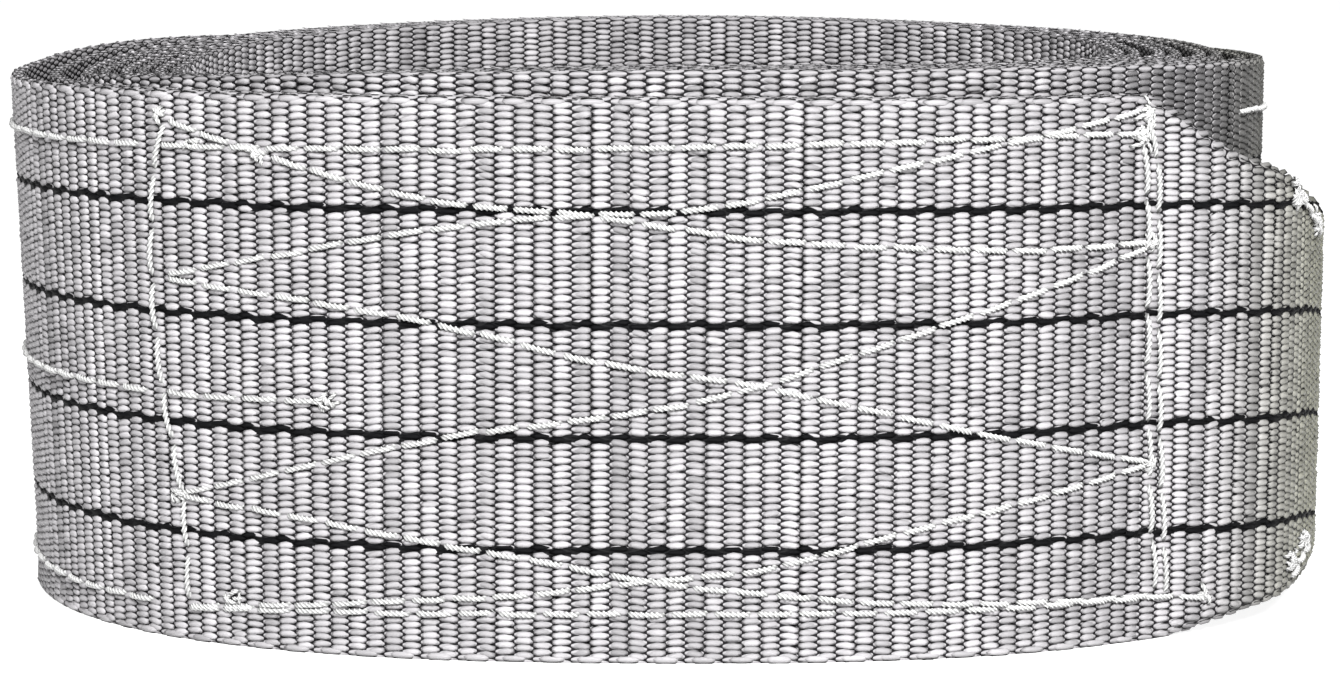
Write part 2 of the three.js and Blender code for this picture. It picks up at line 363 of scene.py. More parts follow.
def joined_arms(first, second):
    """Two arms of an eye and the half circle between their ends."""
    middle = (first[-1, :2] + second[-1, :2]) / 2
    arm = first[-1, :2] - middle
    tip = []
    for turn in np.linspace(0, -math.pi, 14)[1:-1]:
        c, s = math.cos(turn), math.sin(turn)
        place = middle + [arm[0] * c - arm[1] * s, arm[0] * s + arm[1] * c]
        tip.append([*place, *first[-1, 2:]])
    return np.concatenate([first, tip, second[::-1]])


def folded(v, hem, width):
    """The line across a band whose upper edge is turned back to its right along a hem."""
    opened = np.clip(hem / HEM_CLOSED, 0, 1)
    angle = np.maximum(math.pi * opened, 1e-5)
    radius = 2 * BEND / angle
    straight = width - hem - BEND
    past = np.maximum(v - straight, 0)
    in_bend = np.minimum(past, 2 * BEND)
    beyond = past - in_bend
    turn = in_bend / radius
    height = np.minimum(v, straight) + radius * np.sin(turn) + beyond * np.cos(turn)
    aside = -radius * (1 - np.cos(turn)) - beyond * np.sin(turn)
    return aside, height, turn


# Node trees

class Value:
    """A node's output socket that takes part in Python expressions."""

    def __init__(self, nodes, socket):
        self.nodes = nodes
        self.socket = socket

    def maths(self, operation, *values, clamp=False):
        settings = {"operation": operation, "use_clamp": clamp}
        return self.nodes.node("ShaderNodeMath", settings, dict(enumerate(values)))

    def __add__(self, other):
        return self.maths("ADD", self, other)

    def __sub__(self, other):
        return self.maths("SUBTRACT", self, other)

    def __rsub__(self, other):
        return self.maths("SUBTRACT", other, self)

    def __mul__(self, other):
        return self.maths("MULTIPLY", self, other)

    def __truediv__(self, other):
        return self.maths("DIVIDE", self, other)

    def __pow__(self, other):
        return self.maths("POWER", self, other)

    def __mod__(self, other):
        return self.maths("FLOORED_MODULO", self, other)

    def __abs__(self):
        return self.maths("ABSOLUTE", self)

    __radd__ = __add__
    __rmul__ = __mul__

    def floor(self):
        return self.maths("FLOOR", self)

    def fraction(self):
        return self.maths("FRACT", self)

    def cosine(self):
        return self.maths("COSINE", self)

    def clamped(self):
        return self.maths("ADD", self, 0, clamp=True)

    def smooth(self, low, high):
        """0 below low, 1 above high and smooth between them."""
        values = {"Value": self, "From Min": low, "From Max": high, "To Min": 0.0, "To Max": 1.0}
        return self.nodes.node("ShaderNodeMapRange", {"interpolation_type": "SMOOTHSTEP"}, values)


class Nodes:
    """A node tree being built; node() is the one way in for any node."""

    def __init__(self, tree):
        self.tree = tree

    def node(self, kind, settings=None, inputs=None, output=0):
        made = self.tree.nodes.new(kind)
        for name, value in (settings or {}).items():
            setattr(made, name, value)
        for name, value in (inputs or {}).items():
            if isinstance(value, Value):
                self.tree.links.new(value.socket, made.inputs[name])
            else:
                made.inputs[name].default_value = value
        return Value(self, made.outputs[output]) if made.outputs else made

    def attribute(self, name, output="Fac"):
        return self.node("ShaderNodeAttribute", {"attribute_name": name}, None, output)

    def mixed(self, factor, a, b):
        """Colour a where factor is 0 and b where it is 1."""
        settings = {"data_type": "RGBA", "clamp_factor": True}
        return self.node("ShaderNodeMix", settings, {0: factor, 6: a, 7: b}, 2)

    def scaled(self, colour, factor):
        """A colour made lighter or darker by a number."""
        settings = {"operation": "SCALE"}
        vector = colour if isinstance(colour, Value) else colour[:3]
        return self.node("ShaderNodeVectorMath", settings, {"Vector": vector, "Scale": factor})

    def noise(self, vector, scale, detail=2.0):
        values = {"Vector": vector, "Scale": scale, "Detail": detail}
        return self.node("ShaderNodeTexNoise", None, values)

    def stretched(self, vector, by):
        return self.node("ShaderNodeVectorMath", {"operation": "MULTIPLY"}, {0: vector, 1: by})

    def bump(self, height, distance, strength):
        values = {"Height": height, "Distance": distance, "Strength": strength}
        return self.node("ShaderNodeBump", None, values)


def material_named(name, build):
    """The material of that name, made if it isn't there; build gives its surface's inputs."""
    if name in bpy.data.materials:
        return bpy.data.materials[name]
    material = bpy.data.materials.new(name)
    material.use_nodes = True
    material.node_tree.nodes.clear()
    nodes = Nodes(material.node_tree)
    surface = nodes.node("ShaderNodeBsdfPrincipled", None, build(nodes), "BSDF")
    nodes.node("ShaderNodeOutputMaterial", None, {"Surface": surface})
    return material


def colour(rgb):
    return (*rgb, 1.0)


def right_shade_and_reflection(n, place, props):
    """The yarn's colour, darker and more olive on the strap's right: painted shade and a painted
    reflection of green surroundings.
    """
    x = n.node("ShaderNodeSeparateXYZ", None, {0: place})
    # painted shade and painted olive reflection, mixed in towards the strap's right
    right = x.smooth(0.094, 0.128)
    return n.mixed(right, colour(props.colours.webbing), colour(props.colours.right))


def painted_slit_shade(n, local):
    """Painted shade: dark slits beside the ends of a float, which dive under the floats of the next
    column.
    """
    x = n.node("ShaderNodeSeparateXYZ", None, {0: local})
    y = Value(n, x.socket.node.outputs[1])
    slit_shade = (abs(x) / 0.4 - 0.2).clamped() * 0.45
    between = (abs(y) / 0.417 + slit_shade).smooth(0.93, 1.08)
    ends = abs(x).smooth(0.36, 0.44)
    return (1 - between * 0.98) * (1 - ends * 0.98)


def webbing_material(props):
    """The band's own faces: columns of woven floats with painted shade in the slits between them, and
    four black lines.
    """
    rib, row = props.sizes.rib_pitch / MM, props.sizes.row_pitch / MM

    def build(n):
        uv = n.node("ShaderNodeUVMap", {"uv_map": "strap"})
        u = n.node("ShaderNodeSeparateXYZ", None, {0: uv})
        v = Value(n, u.socket.node.outputs[1])
        column = u / rib
        odd = column.floor() % 2
        across = abs(column.fraction() - 0.5) * 2
        down = abs((v / row + odd * 0.5).fraction() - 0.5) * 2
        crown = (1 - across ** 2.5) * 0.6 + 0.4
        lens = (1 - (down / crown) ** 2).clamped()
        wave = (column * math.pi).cosine() * 0.25
        line = abs((v + wave + LINE_SPACING / 2) % LINE_SPACING - LINE_SPACING / 2)
        inside = abs(v - props.sizes.width / MM / 2).smooth(41, 40)
        black = line.smooth(0.85, 0.6) * inside
        place = n.node("ShaderNodeTexCoord", None, None, "Object")
        patches = n.noise(place, 45.0, 3.0)
        streak = n.noise(n.stretched(uv, (0.4, 9.0, 1.0)), 1.0, 3.0)
        light = 0.62 + patches * 0.5 + streak * 0.25
        yarn = n.scaled(right_shade_and_reflection(n, place, props), light)
        # painted shade: near-black colour in the slits between the floats
        slit_shade = n.mixed(lens.smooth(0.0, 0.5), colour(props.colours.slit_shade), yarn)
        base = n.mixed(black, slit_shade, colour(props.colours.line))
        return {
            "Base Color": base,
            "Roughness": 0.45 + streak * 0.2,
            "Normal": n.bump(lens + streak * 0.15, 0.0005, 0.8),
            "Specular IOR Level": 0.08,
        }

    return material_named("woven webbing", build)


def float_material(props):
    """The raised floats of the weave: bundles of bright filaments, coloured by a tone that varies at
    random and holds painted shade and painted light, with painted shade in their slits.
    """

    def build(n):
        tone = n.attribute("tone")
        local = n.attribute("local", "Vector")
        place = n.node("ShaderNodeTexCoord", None, None, "Object")
        patches = n.noise(place, 45.0, 3.0)
        filaments = n.noise(n.stretched(local, (3.0, 22.0, 1.0)), 1.0, 2.0)
        # painted shade and painted light come in through the tone attribute, and painted shade through
        # the slits
        light = tone * (0.72 + patches * 0.35 + filaments * 0.3) * painted_slit_shade(n, local)
        return {
            "Base Color": n.scaled(right_shade_and_reflection(n, place, props), light),
            "Roughness": 0.3 + filaments * 0.2,
            "Normal": n.bump(filaments, 0.0002, 0.5),
            "Specular IOR Level": 0.24,
        }

    return material_named("filament floats", build)


def line_material(props):
    """The dull black yarn of the four lines."""

    def build(n):
        local = n.attribute("local", "Vector")
        filaments = n.noise(n.stretched(local, (3.0, 22.0, 1.0)), 1.0, 2.0)
        return {
            "Base Color": n.scaled(colour(props.colours.line), 0.6 + filaments * 0.9),
            "Roughness": 0.5 + filaments * 0.2,
            "Normal": n.bump(filaments, 0.0002, 0.5),
            "Specular IOR Level": 0.05,
        }

    return material_named("black yarn", build)


def thread_material(props):
    """White twisted polyester thread, with painted shade in the grooves between its strands and at its
    ends.
    """

    def build(n):
        local = n.attribute("local", "Vector")
        place = n.node("ShaderNodeTexCoord", None, None, "Object")
        fibres = n.noise(n.stretched(local, (40.0, 8.0, 8.0)), 1.0, 2.0)
        soiled = n.noise(place, 60.0, 2.0)
        ends = abs(n.node("ShaderNodeSeparateXYZ", None, {0: local})).smooth(0.36, 0.5)
        # painted shade: darker in the grooves between the strands and towards the ends, where the stitch
        # dives into the weave
        strands = (0.42 + n.attribute("crest") * 0.65) * (1 - ends * 0.7)
        light = (0.75 + fibres * 0.25 + soiled * 0.2) * strands
        return {
            "Base Color": n.scaled(colour(props.colours.thread), light),
            "Roughness": 0.55 + fibres * 0.2,
            "Normal": n.bump(fibres, 0.0001, 0.4),
            "Specular IOR Level": 0.25,
        }

    return material_named("twisted thread", build)


def floor_material(props):
    def build(n):
        place = n.node("ShaderNodeTexCoord", None, None, "Object")
        grain = n.noise(place, 4.0, 2.0)
        return {
            "Base Color": n.scaled(colour(props.stage.floor), 0.98 + grain * 0.02),
            "Roughness": 0.9,
            "Emission Color": colour((1, 1, 1)),
            "Emission Strength": props.stage.glow,
        }

    return material_named("pale floor", build)


# Meshes

def mesh_object(name, points, faces, material, uv=None):
    mesh = bpy.data.meshes.new(name)
    mesh.from_pydata((np.asarray(points) * MM).tolist(), [], faces)
    mesh.update()
    if uv is not None:
        layer = mesh.uv_layers.new(name="strap")
        corners = np.zeros(len(mesh.loops), np.int32)
        mesh.loops.foreach_get("vertex_index", corners)
        layer.data.foreach_set("uv", np.asarray(uv)[corners].astype(np.float32).ravel())
    mesh.materials.append(material)
    mesh.shade_smooth()
    made = bpy.data.objects.new(name, mesh)
    bpy.context.scene.collection.objects.link(made)
    return made


def tube_faces(rings, size):
    """Faces of a tube of rings, each of that size, without its two ends."""
    faces = []
    for i in range(rings - 1):
        a, b = i * size, (i + 1) * size
        for j in range(size):
            k = (j + 1) % size
            faces.append((a + j, a + k, b + k, b + j))
    return faces


def band_ring(band, u):
    """Cross-section of the band at each u: (v, offset) of its ring, in order round it."""
    w = band.width
    top = np.interp(u, band.grid, band.top_hem)
    bottom = np.interp(u, band.grid, band.bottom_hem)
    bends = np.array([0, 0.06, 0.12, 0.18, 0.24, 0.45, 0.7, 0.97])
    if top.max() < 0.01:
        bends = np.array([0, 0.5, 0.8])
    web = np.linspace(0, 1, 7)[1:-1]
    low = bottom[:, None] + BEND - (bottom[:, None] + BEND) * bends[::-1]
    high = w - top[:, None] - BEND + (top[:, None] + BEND) * bends
    middle = low[:, -1:] + (high[:, :1] - low[:, -1:]) * web
    up = np.concatenate([low, middle, high], 1)
    ones = np.ones((len(u), 1))
    v = np.concatenate([up, ones * w, ones * w, up[:, ::-1], ones * 0, ones * 0], 1)
    edge = SKIN * 0.55
    n = up.shape[1]
    offset = np.array([SKIN] * n + [edge, -edge] + [-SKIN] * n + [-edge, edge])
    return v, np.broadcast_to(offset, v.shape)


def band_piece(band, name, spans, material):
    points, faces, uvs = [], [], []
    count = 0
    for start, end in spans:
        u = np.linspace(start, end, int((end - start) / (band.rib / 2)) + 1)
        v, offset = band_ring(band, u)
        place, _, _ = band.surface(u[:, None] + v * 0, v, offset)
        size = v.shape[1]
        points.append(place.reshape(-1, 3))
        uvs.append(np.stack([u[:, None] + v * 0, v], -1).reshape(-1, 2))
        made = [tuple(count + k for k in face) for face in tube_faces(len(u), size)]
        made.append(tuple(count + k for k in range(size)))
        last = count + (len(u) - 1) * size
        made.append(tuple(last + k for k in reversed(range(size))))
        faces += made
        count += len(u) * size
    piece = mesh_object(name, np.concatenate(points), faces, material, np.concatenate(uvs))
    outward(piece)
    return piece


def outward(piece):
    form = bmesh.new()
    form.from_mesh(piece.data)
    bmesh.ops.recalc_face_normals(form, faces=form.faces)
    form.to_mesh(piece.data)
    form.free()


def template(name, points, faces, crest=None):
    """A small mesh that is laid many times, with its own coordinates kept as an attribute."""
    mesh = bpy.data.meshes.new(name)
    mesh.from_pydata([tuple(p) for p in points], [], faces)
    mesh.update()
    local = mesh.attributes.new("local", "FLOAT_VECTOR", "POINT")
    local.data.foreach_set("vector", np.asarray(points, np.float32).ravel())
    # crest: how far out on a strand each point lies, which the thread's colour turns into painted shade
    # in the grooves
    if crest is not None:
        crests = mesh.attributes.new("crest", "FLOAT", "POINT")
        crests.data.foreach_set("value", np.asarray(crest, np.float32))
    mesh.shade_smooth()
    made = bpy.data.objects.new(name, mesh)
    bpy.context.scene.collection.objects.link(made)
    outward(made)
    return made


def float_template():
    """A bundle of filaments: full in the middle, with pointed ends that dive into the weave."""
    lower = [(-0.5, 0, -0.5), (-0.25, -0.5, 0), (0.25, -0.5, 0)]
    upper = [(0.5, 0, -0.5), (0.25, 0.5, 0), (-0.25, 0.5, 0)]
    points = [*lower, *upper, (-0.22, 0, 0.8), (0.22, 0, 0.8)]
    sides = [(0, 1, 6), (1, 2, 7, 6), (2, 3, 7), (3, 4, 7), (4, 5, 6, 7), (5, 0, 6)]
    faces = [*sides, (5, 4, 3, 2, 1, 0)]
    return template("float form", points, faces)


def stitch_template(rings=15, around=9, turns=2.5):
    """Three twisted strands that arch out of the band and dive back at both ends."""
    points, crest = [], []
    for i in range(rings):
        x = i / (rings - 1) - 0.5
        arch = 1 - abs(2 * x) ** 3
        slim = 0.72 + 0.28 * min(1, arch * 2.5)
        for j in range(around):
            angle = 2 * math.pi * j / around
            lobe = 0.37 + 0.13 * math.cos(3 * angle)
            turned = angle + 2 * math.pi * turns * x
            y = lobe * slim * math.cos(turned)
            z = lobe * slim * math.sin(turned) + 0.9 * arch - 0.75
            points.append((x, y, z))
            crest.append((math.cos(3 * angle) + 0.5) / 1.5)
    faces = tube_faces(rings, around)
    faces.append(tuple(range(around)))
    faces.append(tuple(reversed(range((rings - 1) * around, rings * around))))
    return template("stitch form", points, faces, crest)


def guide_object(name, points, attributes):
    mesh = bpy.data.meshes.new(name)
    mesh.from_pydata((np.asarray(points) * MM).tolist(), [], [])
    for key, values in attributes.items():
        values = np.asarray(values, np.float32)
        kind, field = ("FLOAT_VECTOR", "vector") if values.ndim == 2 else ("FLOAT", "value")
        layer = mesh.attributes.new(key, kind, "POINT")
        layer.data.foreach_set(field, values.ravel())
    made = bpy.data.objects.new(name, mesh)
    bpy.context.scene.collection.objects.link(made)
    return made


def laying_tree():
    """Lays one form at every guide point, turned and sized by the point's attributes."""
    name = "laid along the band"
    if name in bpy.data.node_groups:
        return bpy.data.node_groups[name]
    tree = bpy.data.node_groups.new(name, "GeometryNodeTree")
    wanted = (
        ("Geometry", "NodeSocketGeometry", None),
        ("Form", "NodeSocketObject", None),
        ("Material", "NodeSocketMaterial", None),
        ("Length", "NodeSocketFloat", 0.003),
        ("Width", "NodeSocketFloat", 0.001),
        ("Height", "NodeSocketFloat", 0.0005),
        ("Unevenness", "NodeSocketFloat", 0.05),
        ("Seed", "NodeSocketInt", 7),
    )
    tree.interface.new_socket(name="Geometry", in_out="OUTPUT", socket_type="NodeSocketGeometry")
    for label, kind, default in wanted:
        socket = tree.interface.new_socket(name=label, in_out="INPUT", socket_type=kind)
        if default is not None:
            socket.default_value = default
    n = Nodes(tree)
    inputs = tree.nodes.new("NodeGroupInput")
    given = {label: Value(n, inputs.outputs[label]) for label, _, _ in wanted}

    def named(attribute):
        kind = {"data_type": "FLOAT_VECTOR"}
        return n.node("GeometryNodeInputNamedAttribute", kind, {"Name": attribute}, "Attribute")

    turn = n.node(
        "FunctionNodeAxesToRotation",
        {"primary_axis": "Z", "secondary_axis": "X"},
        {"Primary Axis": named("out"), "Secondary Axis": named("along")},
    )
    spread = n.node(
        "FunctionNodeRandomValue",
        {"data_type": "FLOAT"},
        {2: 1 - given["Unevenness"], 3: 1 + given["Unevenness"], "Seed": given["Seed"]},
        1,
    )
    sides = {0: given["Length"], 1: given["Width"], 2: given["Height"]}
    size = n.stretched(n.node("ShaderNodeCombineXYZ", None, sides), named("size"))
    size = n.node("ShaderNodeVectorMath", {"operation": "SCALE"}, {"Vector": size, "Scale": spread})
    form = n.node("GeometryNodeObjectInfo", None, {"Object": given["Form"]}, "Geometry")
    laid = n.node(
        "GeometryNodeInstanceOnPoints",
        None,
        {"Points": given["Geometry"], "Instance": form, "Rotation": turn, "Scale": size},
    )
    real = n.node("GeometryNodeRealizeInstances", None, {"Geometry": laid})
    dress = {"Geometry": real, "Material": given["Material"]}
    dressed = n.node("GeometryNodeSetMaterial", None, dress)
    n.node("NodeGroupOutput", None, {"Geometry": dressed})
    return tree


def laid(name, form, points, attributes, material, sizes, unevenness=0.05):
    """A plain mesh of the form laid at every point."""
    guide = guide_object(name + " guide", points, attributes)
    tree = laying_tree()
    modifier = guide.modifiers.new("laid", "NODES")
    modifier.node_group = tree
    values = {
        "Form": form,
        "Material": material,
        "Length": sizes[0] * MM,
        "Width": sizes[1] * MM,
        "Height": sizes[2] * MM,
        "Unevenness": unevenness,
        "Seed": LAYING_SEED,
    }
    for item in tree.interface.items_tree:
        if item.in_out == "INPUT" and item.name in values:
            modifier[item.identifier] = values[item.name]
    graph = bpy.context.evaluated_depsgraph_get()
    mesh = bpy.data.meshes.new_from_object(guide.evaluated_get(graph))
    mesh.name = name
    guide.modifiers.remove(modifier)
    bpy.data.objects.remove(guide)
    made = bpy.data.objects.new(name, mesh)
    bpy.context.scene.collection.objects.link(made)
    return made


def finish_piece(piece, nodes):
    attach(piece, BODY)
    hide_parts(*nodes)


# The weave

def weave_grid(band, start, end, low, high):
    """The floats between two distances and two heights: column, height, and whether in a line."""
    first = math.ceil(start / band.rib - 0.5)
    last = math.floor(end / band.rib - 0.5)
    columns = np.arange(first, last + 1)
    rows = np.arange(0, round(band.width / band.row))
    i, j = (g.ravel() for g in np.meshgrid(columns, rows, indexing="ij"))
    odd = i % 2 == 1
    v = (j + np.where(odd, 1.0, 0.5)) * band.row
    between = round(LINE_SPACING / band.row)
    black = np.where(odd, j % between == between - 1, (j % between == 0) & (j > 0))
    black &= (v > LINE_SPACING / 2) & (v < band.width - LINE_SPACING / 2)
    _, _, turn = band.section((i + 0.5) * band.rib, v)
    keep = (v >= max(low, SELVEDGE)) & (v <= min(high, band.width - SELVEDGE))
    keep &= np.abs(turn) < OUT_OF_SIGHT
    return i[keep], v[keep], black[keep]


def weave_piece(band, name, form, stretches, material, rng, right_painted_shade=0.0, lines=False):
    """Floats over several stretches of the band's left face: the black lines' or the rest."""
    found = [weave_grid(band, *s) for s in stretches]
    i, v, black = (np.concatenate(parts) for parts in zip(*found))
    wanted = black if lines else ~black
    i, v = i[wanted], v[wanted]
    u = (i + 0.5) * band.rib
    count = len(u)
    unruly = rng.normal(0, 1, (count, 4))
    columns = np.random.default_rng(11).normal(0, 1, (8192, 3))[i % 8192]
    v = v + unruly[:, 0] * 0.07
    points, out, along = band.surface(u, v, SKIN - 0.08)
    across = np.cross(out, along)
    twist = unruly[:, 1] * 0.06 + columns[:, 0] * 0.12
    tilt = np.zeros(count) if lines else unruly[:, 2] * 0.045 + columns[:, 1] * 0.05
    out = unit(out + along * twist[:, None])
    along = unit(along + across * tilt[:, None])
    size = np.tile(BLACK_FLOAT if lines else (1.0, 1.0, 1.0), (count, 1))
    size[:, 1] += unruly[:, 3] * 0.04
    size[:, 2] *= 1 + unruly[:, 1] * 0.06
    tone = 1 + unruly[:, 3] * 0.09 + columns[:, 2] * 0.1
    # painted shade: floats darkened towards the right, where the outer eye shades the second turn
    tone *= 1 - right_painted_shade * np.clip((points[:, 0] - 62) / 30, 0, 1)
    # painted shade: floats that face up or down are darkened, by up to half
    tone *= 1 - 0.5 * np.abs(out[:, 2])
    attributes = {"out": out, "along": along, "size": size, "tone": tone}
    sizes = (band.rib * 1.24, band.row * 1.2, FLOAT_HEIGHT)
    return laid(name, form, points, attributes, material, sizes)


def selvedge_piece(band, name, form, petals, edge, material, rng):
    """The loops at an edge of the band: a row of beads, and wide petals on the outer face."""
    start, end = petals
    top = edge > band.width / 2
    sign = 1 if top else -1
    beads = np.arange(0, math.floor(band.grid[-1] / band.rib))
    wide = np.arange(math.ceil(start / band.rib / 2), math.floor(end / band.rib / 2)) * 2
    columns = np.concatenate([beads, wide])
    is_wide = np.arange(len(columns)) >= len(beads)
    unruly = rng.normal(0, 1, (len(columns), 4))
    v = edge - sign * np.where(is_wide, 0.75, np.where(columns % 2 == 0, 0.0, 0.3))
    offset = np.where(is_wide, SKIN - 0.12, 0.0)
    points, out, along = band.surface(columns * band.rib, v, offset)
    up = np.cross(out, along) * sign
    face = unit(np.where(is_wide[:, None], out + up * 0.35, up))
    points = points + out * (unruly[:, :1] * 0.1)
    size = np.where(is_wide[:, None], PETAL, BEAD) + unruly[:, 1:] * 0.06
    packed_and_lit = ~is_wide * np.clip(points[:, 1] / 80 + 1, 0, 1)
    size[:, 0] += 0.5 * packed_and_lit
    # painted light: beads further back are lighter in colour, for the lit top edges of the coil
    tone = np.where(is_wide, 0.97, 1) + 0.75 * packed_and_lit + unruly[:, 3] * 0.08
    attributes = {"out": face, "along": along, "size": size, "tone": tone}
    return laid(name, form, points, attributes, material, (band.rib * 1.12, 1.9, 0.85))


# Sewing

def spline(points, spacing):
    """Evenly spaced points on a smooth line through the given ones, about spacing apart."""
    p = np.asarray(points, float)
    p = np.concatenate([[2 * p[0] - p[1]], p, [2 * p[-1] - p[-2]]])
    t = np.linspace(0, 1, 25)[:, None]
    parts = []
    for a, b, c, d in zip(p, p[1:], p[2:], p[3:]):
        bend = 2 * a - 5 * b + 4 * c - d
        last = -a + 3 * b - 3 * c + d
        parts.append(0.5 * (2 * b + (c - a) * t + bend * t**2 + last * t**3)[:-1])
    line = np.concatenate([*parts, p[-2:-1]])
    run = run_length(line)
    marks = np.linspace(0, run[-1], max(2, round(run[-1] / spacing) + 1))
    return np.stack([np.interp(marks, run, column) for column in line.T], 1)


def stitches(band, name, lines, material, nodes, rng, form):
    """Stitches along lines, each given as its (distance, height) points, stitch length and lift."""
    points, out, along, size = [], [], [], []
    for line, length, lift in lines:
        marks = spline(line, length)
        first = marks[:-1] + rng.normal(0, 0.12, marks[:-1].shape)
        last = marks[1:] + rng.normal(0, 0.12, marks[1:].shape)
        a, _, _ = band.surface(band.throat + first[:, 0], first[:, 1], SKIN)
        b, _, _ = band.surface(band.throat + last[:, 0], last[:, 1], SKIN)
        middle = (marks[:-1] + marks[1:]) / 2
        _, normal, _ = band.surface(band.throat + middle[:, 0], middle[:, 1], SKIN)
        reach = np.linalg.norm(b - a, axis=1)
        points.append((a + b) / 2 + normal * lift)
        out.append(normal)
        along.append(unit(b - a))
        size.append(np.stack([reach * 0.93, np.ones_like(reach), np.ones_like(reach)], 1))
    points, out, along, size = (np.concatenate(x) for x in (points, out, along, size))
    attributes = {"out": out, "along": along, "size": size}
    sizes = (1.0, THREAD_SIZE, THREAD_SIZE)
    piece = laid(name, form, points, attributes, material, sizes, 0.03)
    finish_piece(piece, nodes)


def clustered(band, name, places, form, material, rng):
    """Short bits of thread crossed over each other at each (distance, height, count, spread, length)."""
    points, out, along, size = [], [], [], []
    for distance, height, count, spread, length in places:
        around = rng.normal(0, 1, (count, 2)) * [spread, spread * 0.7]
        u = band.throat + distance + around[:, 0]
        place, normal, way = band.surface(u, height + around[:, 1], SKIN)
        up = np.cross(normal, way)
        angle = rng.uniform(0, 2 * math.pi, count)[:, None]
        stand = rng.uniform(0, 0.25, count)[:, None]
        points.append(place + normal * rng.uniform(0.4, 1.1, count)[:, None])
        direction = unit(way * np.cos(angle) + up * np.sin(angle) + normal * stand)
        along.append(direction)
        out.append(unit(normal - direction * (normal * direction).sum(1)[:, None]))
        thick = rng.uniform(0.6, 1.0, count)
        size.append(np.stack([rng.uniform(0.7, 1.3, count) * length, thick, thick], 1))
    points, out, along, size = (np.concatenate(x) for x in (points, out, along, size))
    attributes = {"out": out, "along": along, "size": size}
    return laid(name, form, points, attributes, material, (1.0, 1.0, 1.0), 0.03)


# What a user would change

class StrapSizes(bpy.types.PropertyGroup):
    width: bpy.props.FloatProperty(
        name="Width", description="Width of the webbing", default=0.1, unit="LENGTH"
    )
    ply: bpy.props.FloatProperty(
        name="Ply", description="Thickness of one ply", default=0.0028, unit="LENGTH"
    )
    coil_width: bpy.props.FloatProperty(
        name="Coil width", description="Width of the coil's outer turn", default=0.253, unit="LENGTH"
    )
    coil_depth: bpy.props.FloatProperty(
        name="Coil depth", description="Depth of the coil's outer turn", default=0.23, unit="LENGTH"
    )
    rib_pitch: bpy.props.FloatProperty(
        name="Rib pitch", description="Distance between columns of floats", default=0.00335, unit="LENGTH"
    )
    row_pitch: bpy.props.FloatProperty(
        name="Row pitch", description="Distance between rows of floats", default=0.00125, unit="LENGTH"
    )


class StrapColours(bpy.types.PropertyGroup):
    webbing: bpy.props.FloatVectorProperty(
        name="Webbing", description="Colour of the grey yarn",
        default=(0.255, 0.248, 0.256), subtype="COLOR"
    )
    # Painted shade: the near-black colour of the slits between the floats
    slit_shade: bpy.props.FloatVectorProperty(
        name="Slits", description="Colour between the floats",
        default=(0.006, 0.0055, 0.0065), subtype="COLOR"
    )
    line: bpy.props.FloatVectorProperty(
        name="Lines", description="Colour of the four black lines",
        default=(0.003, 0.003, 0.0035), subtype="COLOR"
    )
    # Painted shade and a painted olive reflection, mixed into the yarn on the strap's right
    right: bpy.props.FloatVectorProperty(
        name="Right side", description="Colour of the yarn on the right",
        default=(0.122, 0.122, 0.096), subtype="COLOR"
    )
    thread: bpy.props.FloatVectorProperty(
        name="Thread", description="Colour of the sewing thread",
        default=(0.6, 0.6, 0.595), subtype="COLOR"
    )


class StrapStage(bpy.types.PropertyGroup):
    floor: bpy.props.FloatVectorProperty(
        name="Floor", description="Colour of the floor", default=(0.4, 0.4, 0.4), subtype="COLOR"
    )
    sky: bpy.props.FloatProperty(
        name="Sky", description="Strength of the light all round", default=0.3
    )
    glow: bpy.props.FloatProperty(
        name="Glow", description="Light that the floor gives off itself", default=0.88
    )
    key: bpy.props.FloatProperty(
        name="Key light", description="Power of the large light above the camera",
        default=47.0, unit="POWER"
    )


class StrapProperties(bpy.types.PropertyGroup):
    sizes: bpy.props.PointerProperty(type=StrapSizes)
    colours: bpy.props.PointerProperty(type=StrapColours)
    stage: bpy.props.PointerProperty(type=StrapStage)


# Operators

class STRAP_OT_band(bpy.types.Operator):
    """Makes the two plies and the two folded eyes of the webbing"""

    bl_idname = "strap.band"
    bl_label = "Webbing band"

    def execute(self, context):
        props = context.scene.tow_strap
        band = Band(props.sizes)
        material = webbing_material(props)
        pieces = {
            "outer_ply": ["outer_ply"],
            "inner_ply": ["inner_ply", "inner_end"],
            "outer_eye": ["outer_eye"],
            "inner_eye": ["inner_eye"],
        }
        for name, spans in pieces.items():
            piece = band_piece(band, name, [band.spans[s] for s in spans], material)
            finish_piece(piece, [WEBBING])
        return {"FINISHED"}


